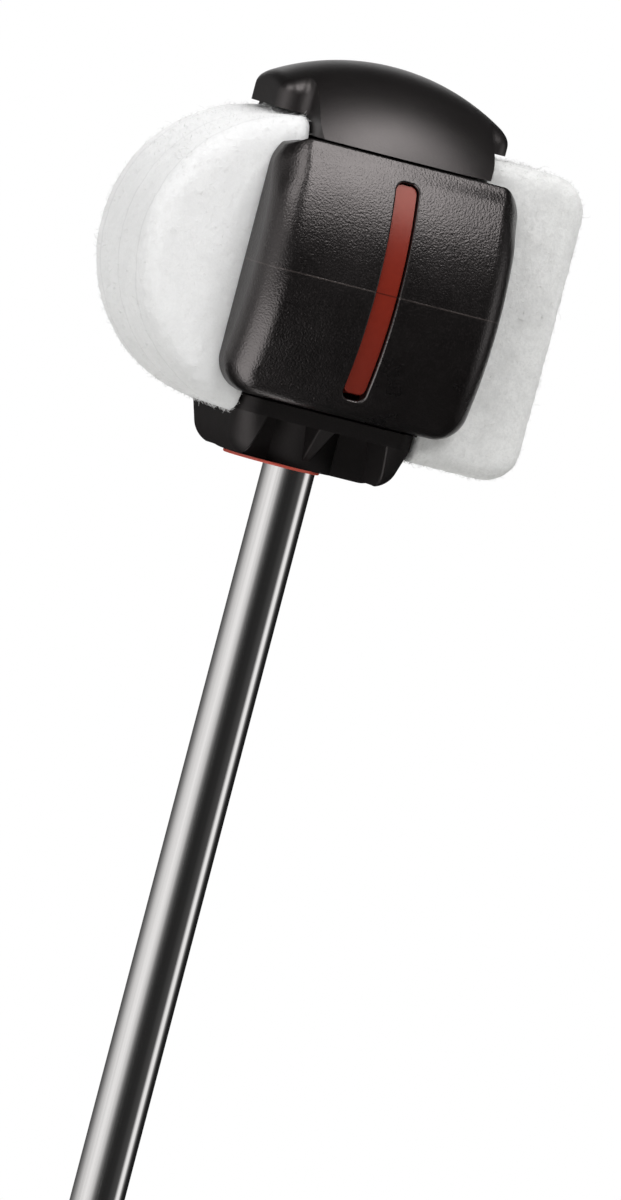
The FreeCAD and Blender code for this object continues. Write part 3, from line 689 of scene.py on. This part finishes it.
@dataclass
class FeltPad:
    """A felt pad: a pressed block with soft edges, a napped surface and stray fibres.

    The seat is where the pad is bonded to its carrier. The nap is made of tufts, of strands within
    them and of a broad swell, and it is held down near the bond. The fibres are about twice as
    thick as wool, so that they show, and the fringe is those that stick out of the cut edge by the
    seat.
    """

    name: str
    node: str
    finish: WoolFelt
    seat: float
    seed: int
    half_depth: float = 12.2 * MM
    fill: float = 1.0
    voxel: float = 0.5 * MM
    smoothings: int = 3
    nap: float = 0.16 * MM
    nap_sink: float = 0.35
    nap_reach: float = 1.5 * MM
    tuft_size: float = 1.1 * MM
    tuft_share: float = 0.6
    strand_size: float = 0.5 * MM
    strand_share: float = 0.6
    swell_size: float = 9 * MM
    swell_share: float = 0.8
    fibres: int = 2600
    fibre_radius: float = 0.028 * MM
    fibre_taper: float = 0.7
    fibre_joints: int = 3
    fibre_shortest_mm: float = 0.3
    fibre_longest_mm: float = 0.9
    fibre_depth: float = 0.05 * MM
    long_share: float = 0.06
    long_stretch: float = 2.2
    lift: float = 0.55
    arch: float = 1.9
    slant: float = 0.7
    curl: float = 0.5
    fringe: int = 640
    fringe_start: float = 0.1 * MM
    fringe_end: float = 1.2 * MM
    fringe_slope: float = 0.6
    fringe_lean: float = 0.9

    def block(self, bm: bmesh.types.BMesh) -> None:
        """Model the pad's block; each kind of pad has its own."""
        raise NotImplementedError

    def build(self) -> list[bpy.types.Object]:
        """Model the pad, raise its nap, put it in place of its solid and grow its stray fibres.

        Returns:
            The pad and its fibres.
        """
        felt = self.finish.material()
        bm = bmesh.new()
        self.block(bm)
        holder = bpy.data.objects.new(self.name + "_block", to_mesh(bm, self.name + "_block"))
        bpy.context.scene.collection.objects.link(holder)
        remesh = holder.modifiers.new("even_mesh", "REMESH")
        remesh.mode = "VOXEL"
        remesh.voxel_size = self.voxel
        graph = bpy.context.evaluated_depsgraph_get()
        mesh = bpy.data.meshes.new_from_object(holder.evaluated_get(graph))
        bpy.data.objects.remove(holder)
        mesh.name = self.name
        self.raise_nap(mesh)
        coat(mesh, felt)
        mesh.polygons.foreach_set("use_smooth", [True] * len(mesh.polygons))
        pad = new_piece(self.name, mesh, HEAD_BODY)
        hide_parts(self.node)
        return [pad, self.grow_fibres(mesh, felt)]

    def raise_nap(self, mesh: bpy.types.Mesh) -> None:
        """Smooth the block and roughen it by a felt's low nap, flat where it is bonded.

        Args:
            mesh: the pad's even mesh.
        """
        bm = bmesh.new()
        bm.from_mesh(mesh)
        for _ in range(self.smoothings):
            bmesh.ops.smooth_vert(
                bm, verts=bm.verts, factor=0.5, use_axis_x=True, use_axis_y=True, use_axis_z=True)
        bm.normal_update()
        moves = []
        for vert in bm.verts:
            free = min(1.0, abs(vert.co.x - self.seat) / self.nap_reach)
            strand = self.strand_share * noise.noise(vert.co / self.strand_size)
            tuft = noise.noise(vert.co / self.tuft_size) + strand
            swell = self.swell_share * noise.noise(vert.co / self.swell_size)
            rise = self.tuft_share * tuft + swell - self.nap_sink
            moves.append(vert.normal * (free * self.nap * rise))
        for vert, move in zip(bm.verts, moves):
            vert.co += move
        bm.to_mesh(mesh)
        bm.free()

    def grow_fibres(self, mesh: bpy.types.Mesh, felt: bpy.types.Material) -> bpy.types.Object:
        """Grow stray fibres from the nap as thin tapered tubes.

        Args:
            mesh: the pad's finished mesh.
            felt: the felt's finish.

        Returns:
            The fibres, as one piece.
        """
        dice = random.Random(self.seed)
        curve = bpy.data.curves.new(self.name + "_fibres", "CURVE")
        curve.dimensions = "3D"
        curve.bevel_depth = self.fibre_radius
        curve.bevel_resolution = 0
        inward = Vector((math.copysign(1.0, -self.seat), 0.0, 0.0))
        faces = [v for v in mesh.vertices if abs(v.co.x - self.seat) > self.fringe_end]
        cut_edge = [v for v in mesh.vertices
                    if self.fringe_start < abs(v.co.x - self.seat) < self.fringe_end
                    and abs(v.normal.x) < self.fringe_slope]
        roots = [dice.choice(faces) for _ in range(self.fibres)]
        roots += [dice.choice(cut_edge) for _ in range(self.fringe)]
        for i, root in enumerate(roots):
            side = Vector((dice.uniform(-1, 1), dice.uniform(-1, 1), dice.uniform(-1, 1)))
            if i >= self.fibres:
                side += inward * self.fringe_lean
            lean = (side - side.project(root.normal)).normalized()
            length = dice.uniform(self.fibre_shortest_mm, self.fibre_longest_mm) * MM
            length *= self.long_stretch if dice.random() < self.long_share else 1.0
            bend = lean.cross(root.normal) * dice.uniform(-self.curl, self.curl)
            start = root.co - root.normal * self.fibre_depth
            spline = curve.splines.new("POLY")
            spline.points.add(self.fibre_joints)
            for step, point in enumerate(spline.points):
                t = step / self.fibre_joints
                rise = root.normal * (self.lift * math.sin(self.arch * t))
                spot = start + (rise + lean * self.slant * t + bend * t * t) * length
                point.co = (*spot, 1.0)
                point.radius = 1.0 - self.fibre_taper * t
        holder = bpy.data.objects.new(curve.name, curve)
        fuzz = bpy.data.meshes.new_from_object(holder)
        bpy.data.objects.remove(holder)
        fuzz.name = self.name + "_fibres"
        coat(fuzz, felt)
        return new_piece(fuzz.name, fuzz, HEAD_BODY)


@dataclass
class RoundPad(FeltPad):
    """The pad with a round face: a thick felt disc cut off where it is bonded to its carrier."""

    axle_x: float = -12.8 * MM
    axle_z: float = 158.5 * MM
    radius: float = 22.6 * MM
    rim: float = 3.2 * MM
    spin_steps: int = 96

    def block(self, bm: bmesh.types.BMesh) -> None:
        """Spin a rounded half section into a disc and cut it at the seat.

        Args:
            bm: the empty bmesh that gets the block.
        """
        centre = Vector((self.axle_x, 0.0, self.axle_z))
        outline = [(0.0, -self.half_depth), (self.radius, -self.half_depth),
                   (self.radius, self.half_depth), (0.0, self.half_depth)]
        section = [bm.verts.new(centre + Vector((0.0, y, r))) for r, y in outline]
        for pair in zip(section, section[1:]):
            bm.edges.new(pair)
        bmesh.ops.bevel(
            bm, geom=section[1:3], offset=self.rim, offset_type="OFFSET", segments=6,
            profile=0.5, affect="VERTICES", material=-1)
        bmesh.ops.spin(
            bm, geom=list(bm.verts) + list(bm.edges), cent=centre, axis=(0, 1, 0),
            angle=math.tau, steps=self.spin_steps, use_merge=True)
        bmesh.ops.remove_doubles(bm, verts=bm.verts, dist=TOLERANCE)
        bmesh.ops.recalc_face_normals(bm, faces=bm.faces)
        cut = bmesh.ops.bisect_plane(
            bm, geom=list(bm.verts) + list(bm.edges) + list(bm.faces), plane_co=(self.seat, 0, 0),
            plane_no=(1, 0, 0), clear_outer=True)
        rim_edges = [item for item in cut["geom_cut"] if isinstance(item, bmesh.types.BMEdge)]
        bmesh.ops.contextual_create(bm, geom=rim_edges)


@dataclass
class FlatPad(FeltPad):
    """The pad with a flat face: a felt block with rounded ends."""

    face: float = 31.5 * MM
    low: float = 135.0 * MM
    high: float = 181.8 * MM
    end_edge: float = 5.4 * MM
    side_edge: float = 3.0 * MM
    sharp_angle: float = 1.0

    def block(self, bm: bmesh.types.BMesh) -> None:
        """Round the face's edges of a block, the ends more than the sides.

        Args:
            bm: the empty bmesh that gets the block.
        """
        size = Vector((self.face - self.seat, 2 * self.half_depth, self.high - self.low))
        middle = Vector(((self.face + self.seat) / 2, 0.0, (self.high + self.low) / 2))
        place = Matrix.Translation(middle) @ Matrix.Diagonal((*size, 1.0))
        bmesh.ops.create_cube(bm, size=1.0, matrix=place)
        ends = [e for e in bm.edges if all(v.co.x > middle.x for v in e.verts)
                and e.verts[0].co.z == e.verts[1].co.z]
        bmesh.ops.bevel(
            bm, geom=ends, offset=self.end_edge, offset_type="OFFSET", segments=8,
            profile=0.5, affect="EDGES", material=-1)
        sides = [e for e in bm.edges
                 if len(e.link_faces) == 2 and e.calc_face_angle() > self.sharp_angle
                 and not all(abs(v.co.x - self.seat) < TOLERANCE for v in e.verts)]
        bmesh.ops.bevel(
            bm, geom=sides, offset=self.side_edge, offset_type="OFFSET", segments=5,
            profile=0.5, affect="EDGES", material=-1)


@dataclass(frozen=True)
class SoftBox:
    """A soft box that hangs round the head and faces it.

    Angles are in degrees, from the front and positive to the right, and above the head. The glow is
    how bright its front looks, where 1 is white. One that isn't mirrored only fills in the shadows.
    """

    name: str
    azimuth: float
    elevation: float
    distance: float
    width: float
    height: float
    glow: float
    mirrored: bool = True

    def hang(self) -> None:
        """Hang the box in its place and turn it to the head."""
        way = compass(self.azimuth, self.elevation)
        data = bpy.data.lights.new(self.name, "AREA")
        data.shape = "RECTANGLE"
        data.size, data.size_y = self.width, self.height
        data.energy = self.glow * math.pi * self.width * self.height
        lamp = bpy.data.objects.new(self.name, data)
        lamp.location = HEAD_MIDDLE + way * self.distance
        lamp.rotation_euler = way.to_track_quat("Z", "Y").to_euler()
        lamp.visible_camera = False
        lamp.visible_glossy = self.mirrored
        bpy.context.scene.collection.objects.link(lamp)


@dataclass
class Studio:
    """Camera, floor and soft light as in the photograph, with the background white.

    The flag stops are the light that a mirror sees round the studio, each an azimuth in degrees and
    a level. Heights on the walls and on the card are sines of the angle above the head.
    """

    azimuth: float = -20.0
    elevation: float = 2.0
    roll: float = 14.7
    lens: float = 800.0
    clip_start: float = 0.05
    frame_height: float = 178.8 * MM
    aim_right: float = 8.09 * MM
    aim_up: float = -18.66 * MM
    floor_level: float = -30.5 * MM
    floor_radius: float = 2.0
    floor_colour: str = "#E6E6E4"
    fade_start: float = 0.15
    fade_end: float = 0.42
    ambient: float = 0.22
    wall_top: float = 0.12
    wall_end: float = 0.4
    ceiling: float = 0.03
    card_azimuth: float = -49.0
    card_half_width: float = 50.0
    card_core: float = 0.6
    card_top: float = -0.1
    card_full: float = -0.45
    card_glow: float = 3.2
    flag_stops: tuple[tuple[float, float], ...] = (
        (-180, 0.1), (-163, 0.12), (-150, 0.2), (-136, 0.32), (-117, 0.62), (-101, 0.8),
        (-86, 0.9), (-73, 1.0), (-61, 0.85), (-49, 0.62), (-37, 0.2), (-26, 0.065),
        (-14, 0.03), (-3, 0.022), (21, 0.028), (33, 0.05), (47, 0.07), (55, 0.09), (61, 0.5),
        (68, 1.0), (80, 1.0), (88, 0.3), (97, 0.05), (110, 0.015), (150, 0.012), (165, 0.08))
    lamps: tuple[SoftBox, ...] = (
        SoftBox("key", azimuth=14.5, elevation=48, distance=0.75,
                width=0.45, height=0.52, glow=5.7),
        SoftBox("overhead", azimuth=15, elevation=75, distance=0.75,
                width=0.4, height=0.3, glow=0.5),
        SoftBox("upper_left", azimuth=-56, elevation=35, distance=0.7,
                width=0.42, height=0.36, glow=3.7),
        SoftBox("left_fill", azimuth=-80, elevation=5, distance=0.8,
                width=0.5, height=0.5, glow=1.8, mirrored=False),
        SoftBox("rear_key", azimuth=168, elevation=17, distance=0.8,
                width=0.4, height=0.36, glow=1.2),
        SoftBox("right_fill", azimuth=100, elevation=35, distance=0.8,
                width=0.5, height=0.5, glow=0.6, mirrored=False),
        SoftBox("rear_fill", azimuth=160, elevation=8, distance=0.8,
                width=0.5, height=0.5, glow=2.2, mirrored=False))

    def build(self) -> None:
        """Set the camera, the floor, the world and the lamps."""
        self.set_camera()
        self.lay_floor()
        self.paint_world()
        for lamp in self.lamps:
            lamp.hang()
        bpy.context.scene.view_settings.view_transform = "Standard"

    def set_camera(self) -> None:
        """Look at the head from the left and a little above, with the shaft leaning."""
        turn, lean = math.radians(self.azimuth), math.radians(self.roll)
        back = compass(self.azimuth, self.elevation)
        right = Vector((math.cos(turn), math.sin(turn), 0.0))
        up = back.cross(right)
        image_right = right * math.cos(lean) + up * math.sin(lean)
        image_up = up * math.cos(lean) - right * math.sin(lean)
        aim = BRACKET_FOOT + right * self.aim_right + up * self.aim_up
        data = bpy.data.cameras.new("camera")
        data.lens = self.lens
        data.clip_start = self.clip_start
        spot = aim + back * (self.frame_height * self.lens / data.sensor_width)
        axes = Matrix((image_right, image_up, back)).transposed()
        camera = bpy.data.objects.new("camera", data)
        camera.matrix_world = Matrix.Translation(spot) @ axes.to_4x4()
        bpy.context.scene.collection.objects.link(camera)
        bpy.context.scene.camera = camera

    def lay_floor(self) -> None:
        """Lay a pale round floor that fades to the white background away from the object."""
        bm = bmesh.new()
        bmesh.ops.create_circle(
            bm, cap_ends=True, segments=64, radius=self.floor_radius,
            matrix=Matrix.Translation((0, 0, self.floor_level)))
        mesh = to_mesh(bm, "floor")
        # Painted board: an even pale matte that takes the object's soft shadow.
        material, tree, shader = new_material(
            "pale_studio_floor", Roughness=0.8, Base_Color=linear(self.floor_colour))
        place = add_node(tree, "ShaderNodeTexCoord").outputs["Object"]
        reach = add_node(tree, "ShaderNodeVectorMath", {0: place}, operation="LENGTH")
        far = add_node(tree, "ShaderNodeMapRange", {
            "Value": reach.outputs["Value"], "From Min": self.fade_start,
            "From Max": self.fade_end}, interpolation_type="SMOOTHSTEP")
        path = add_node(tree, "ShaderNodeLightPath")
        seen = add_node(tree, "ShaderNodeMath", {
            0: path.outputs["Is Camera Ray"],
            1: path.outputs["Is Transmission Ray"]}, operation="MAXIMUM")
        share = add_node(tree, "ShaderNodeMath", {
            0: far.outputs[0], 1: seen.outputs[0]}, operation="MULTIPLY")
        white = add_node(tree, "ShaderNodeEmission", {"Color": grey(1.0), "Strength": 1.0})
        blend = add_node(tree, "ShaderNodeMixShader", {
            0: share.outputs[0], 1: shader.outputs[0], 2: white.outputs[0]})
        tree.links.new(blend.outputs[0], tree.nodes["Material Output"].inputs["Surface"])
        coat(mesh, material)
        floor = bpy.data.objects.new("floor", mesh)
        floor.visible_glossy = False
        bpy.context.scene.collection.objects.link(floor)

    def paint_world(self) -> None:
        """Paint the studio: white to the camera, flagged walls to mirrors, dim light otherwise."""
        world = bpy.data.worlds.new("studio")
        world.use_nodes = True
        tree = world.node_tree
        # Pale walls with dark flags between them, at the height of the head.
        way = add_node(tree, "ShaderNodeTexCoord").outputs["Generated"]
        parts = add_node(tree, "ShaderNodeSeparateXYZ", {"Vector": way})
        front = add_node(tree, "ShaderNodeMath", {
            0: parts.outputs["Y"], 1: -1.0}, operation="MULTIPLY")
        turn = add_node(tree, "ShaderNodeMath", {
            0: parts.outputs["X"], 1: front.outputs[0]}, operation="ARCTAN2")
        share = add_node(tree, "ShaderNodeMapRange", {
            "Value": turn.outputs[0], "From Min": -math.pi, "From Max": math.pi})
        flags = add_node(tree, "ShaderNodeValToRGB", {"Fac": share.outputs[0]})
        ramp = flags.color_ramp
        while len(ramp.elements) < len(self.flag_stops):
            ramp.elements.new(0.5)
        for element, (azimuth, level) in zip(ramp.elements, self.flag_stops):
            element.position = (azimuth + 180) / 360
            element.color = grey(level)
        off_level = add_node(tree, "ShaderNodeMath", {0: parts.outputs["Z"]}, operation="ABSOLUTE")
        height = add_node(tree, "ShaderNodeMapRange", {
            "Value": off_level.outputs[0], "From Min": self.wall_top, "From Max": self.wall_end})
        walls = add_node(tree, "ShaderNodeMix", {
            FACTOR: height.outputs[0], COLOUR_A: flags.outputs["Color"],
            COLOUR_B: grey(self.ceiling)}, data_type="RGBA")
        # A white card low on the left, which lights the undersides of the black mouldings.
        aside = add_node(tree, "ShaderNodeMath", {
            0: turn.outputs[0], 1: math.radians(self.card_azimuth)}, operation="SUBTRACT")
        apart = add_node(tree, "ShaderNodeMath", {0: aside.outputs[0]}, operation="ABSOLUTE")
        within = add_node(tree, "ShaderNodeMapRange", {
            "Value": apart.outputs[0], "From Min": math.radians(self.card_half_width),
            "From Max": math.radians(self.card_core * self.card_half_width)},
            interpolation_type="SMOOTHSTEP")
        below = add_node(tree, "ShaderNodeMapRange", {
            "Value": parts.outputs["Z"], "From Min": self.card_top, "From Max": self.card_full,
            "To Max": self.card_glow}, interpolation_type="SMOOTHSTEP")
        card = add_node(tree, "ShaderNodeMath", {
            0: within.outputs[0], 1: below.outputs[0]}, operation="MULTIPLY")
        mirrored = add_node(tree, "ShaderNodeMix", {
            FACTOR: 1.0, COLOUR_A: walls.outputs[MIXED],
            COLOUR_B: card.outputs[0]}, data_type="RGBA", blend_type="ADD")
        # What each kind of ray sees.
        path = add_node(tree, "ShaderNodeLightPath")
        lit = add_node(tree, "ShaderNodeMix", {
            FACTOR: path.outputs["Is Glossy Ray"], COLOUR_A: grey(self.ambient),
            COLOUR_B: mirrored.outputs[MIXED]}, data_type="RGBA")
        seen = add_node(tree, "ShaderNodeMath", {
            0: path.outputs["Is Camera Ray"],
            1: path.outputs["Is Transmission Ray"]}, operation="MAXIMUM")
        shown = add_node(tree, "ShaderNodeMix", {
            FACTOR: seen.outputs[0], COLOUR_A: lit.outputs[MIXED],
            COLOUR_B: grey(1.0)}, data_type="RGBA")
        tree.links.new(shown.outputs[MIXED], tree.nodes["Background"].inputs["Color"])
        bpy.context.scene.world = world


def main() -> None:
    """Build the beater's sub-assemblies in order, report each piece, and set up the studio."""
    logging.basicConfig(level=logging.INFO, format="%(name)s: %(message)s")
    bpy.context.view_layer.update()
    # The flat pad's felt is a greyer copy of the same felt: painted shade, for the lower light on
    # that pad.
    shaded_felt = WoolFelt("shaded_wool_felt", "#E6E6E5", "#D4D4D3", "#C8C8C7")
    assemblies = (
        Shaft(),
        Head(),
        WeightCovers(),
        RoundPad("round_pad", "round_felt_pad", WoolFelt(), seat=-14.5 * MM, seed=11),
        FlatPad("flat_pad", "flat_felt_pad", shaded_felt, seat=14.5 * MM, seed=23))
    for assembly in assemblies:
        for piece in assembly.build():
            mesh = piece.data
            LOG.info("%s: %s, %d faces", piece.name, mesh.materials[0].name, len(mesh.polygons))
    Studio().build()


if __name__ == "__main__":
    main()
